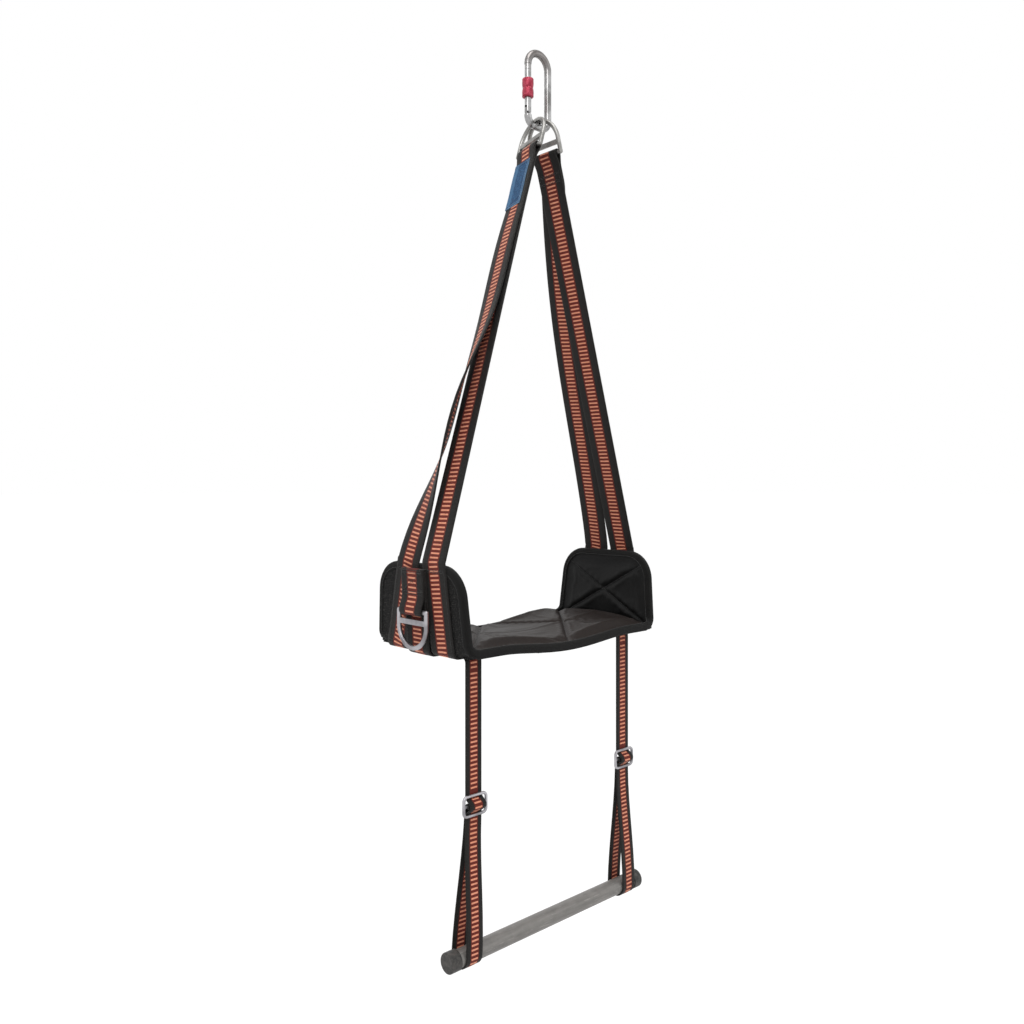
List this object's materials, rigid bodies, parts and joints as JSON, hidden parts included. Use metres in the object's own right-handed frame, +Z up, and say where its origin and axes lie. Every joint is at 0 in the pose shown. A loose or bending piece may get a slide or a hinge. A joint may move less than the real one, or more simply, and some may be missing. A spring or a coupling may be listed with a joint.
{
  "type": "bosun's chair",
  "caption": "Padded webbing work seat hung from a screw-gate carabiner, with upturned side flaps, side rings and a foot bar on adjustable straps.",
  "frame": {"origin": "the hang eye: the inside of the carabiner's upper bow, where an anchor bears", "axes": "+Z up, +X to the sitter's left across the seat, -Y to the front where the feet go"},
  "size_m": [0.3906, 0.188, 1.1863],
  "materials": {
    "carabiner_steel": "zinc-plated, worn bright",
    "red_sleeve": "red anodised, knurled",
    "ring_steel": "zinc-plated, satin",
    "webbing": "woven black band with an orange ladder",
    "blue_label": "blank coated cloth",
    "vinyl": "quilted dark vinyl, soft sheen",
    "board": "plain sheet",
    "mesh_cloth": "black spacer mesh",
    "binding": "ribbed binding tape",
    "bar_steel": "dull grey plated tube",
    "cap_plastic": "moulded grey"
  },
  "bodies": {
    "carabiner": {"carabiner_frame": "carabiner_steel", "gate_pin": "carabiner_steel"},
    "gate": {"carabiner_gate": "carabiner_steel", "gate_plunger": "carabiner_steel", "gate_spring": "carabiner_steel"},
    "sleeve": {"locking_sleeve": "red_sleeve"},
    "chair": {"top_ring_left": "ring_steel", "top_ring_right": "ring_steel", "hanger_strap_left": "webbing", "hanger_strap_right": "webbing", "label": "blue_label", "seat_cushion": "vinyl", "seat_board": "board", "seat_cover": "mesh_cloth", "seat_binding_front": "binding", "seat_binding_rear": "binding", "splice_patch_front": "webbing", "splice_patch_middle": "webbing", "splice_patch_rear": "webbing", "flap_pad_left": "vinyl", "flap_pad_right": "vinyl", "flap_cover_left": "mesh_cloth", "flap_cover_right": "mesh_cloth", "flap_binding_left": "binding", "flap_binding_right": "binding", "ring_strap_left": "webbing", "ring_strap_right": "webbing", "ring_tab_left": "webbing", "ring_tab_right": "webbing", "foot_strap_root_left": "webbing", "foot_strap_root_right": "webbing"},
    "ring_left": {"side_ring_left": "ring_steel"},
    "ring_right": {"side_ring_right": "ring_steel"},
    "sling": {"foot_strap_left": "webbing", "foot_strap_right": "webbing"},
    "slide_left": {"buckle_left": "ring_steel"},
    "slide_right": {"buckle_right": "ring_steel"},
    "loops": {"foot_loop_left": "webbing", "foot_loop_right": "webbing"},
    "bar": {"foot_bar": "bar_steel", "bar_cap_left": "cap_plastic", "bar_cap_right": "cap_plastic"}
  },
  "joints": [
    {"name": "gate_hinge", "type": "hinge", "parent": "carabiner", "child": "gate", "pos_m": [-0.019, 0, -0.076], "axis": [0, 1, 0], "range_deg": [0, 24], "stiffness_Nm_per_rad": 0.3, "springref_deg": -22.92},
    {"name": "sleeve_slide", "type": "slide", "parent": "gate", "child": "sleeve", "axis": [0, 0, 1], "range_m": [0, 0.019]},
    {"name": "chair_swing", "type": "hinge", "parent": "carabiner", "child": "chair", "pos_m": [0, 0, -0.095], "axis": [1, 0, 0], "range_deg": [-35, 35]},
    {"name": "ring_left_swing", "type": "hinge", "parent": "chair", "child": "ring_left", "pos_m": [-0.18981, 0.031, -0.74263], "axis": [0, 1, 0], "range_deg": [-2, 115]},
    {"name": "ring_right_swing", "type": "hinge", "parent": "chair", "child": "ring_right", "pos_m": [0.18981, 0.031, -0.74263], "axis": [0, -1, 0], "range_deg": [-2, 115]},
    {"name": "foot_swing", "type": "hinge", "parent": "chair", "child": "sling", "pos_m": [0, -0.03, -0.8079], "axis": [1, 0, 0], "range_deg": [-50, 50]},
    {"name": "buckle_left_slide", "type": "slide", "parent": "sling", "child": "slide_left", "axis": [0, 0, 1], "range_m": [-0.18, 0.13], "deforming": ["foot_strap_left", "foot_strap_right"]},
    {"name": "buckle_right_slide", "type": "slide", "parent": "sling", "child": "slide_right", "axis": [0, 0, 1], "range_m": [-0.18, 0.13]},
    {"name": "bar_rise", "type": "slide", "parent": "slide_left", "child": "loops", "axis": [0, 0, 1], "range_m": [-0.066, 0.091], "deforming": ["foot_loop_left", "foot_loop_right"]},
    {"name": "bar_spin", "type": "hinge", "parent": "loops", "child": "bar", "pos_m": [0, -0.03, -1.163], "axis": [1, 0, 0], "continuous": true}
  ],
  "couplings": [
    {"joint": "buckle_right_slide", "follows": "buckle_left_slide", "ratio": 1},
    {"joint": "bar_rise", "follows": "buckle_left_slide", "ratio": -0.5}
  ]
}
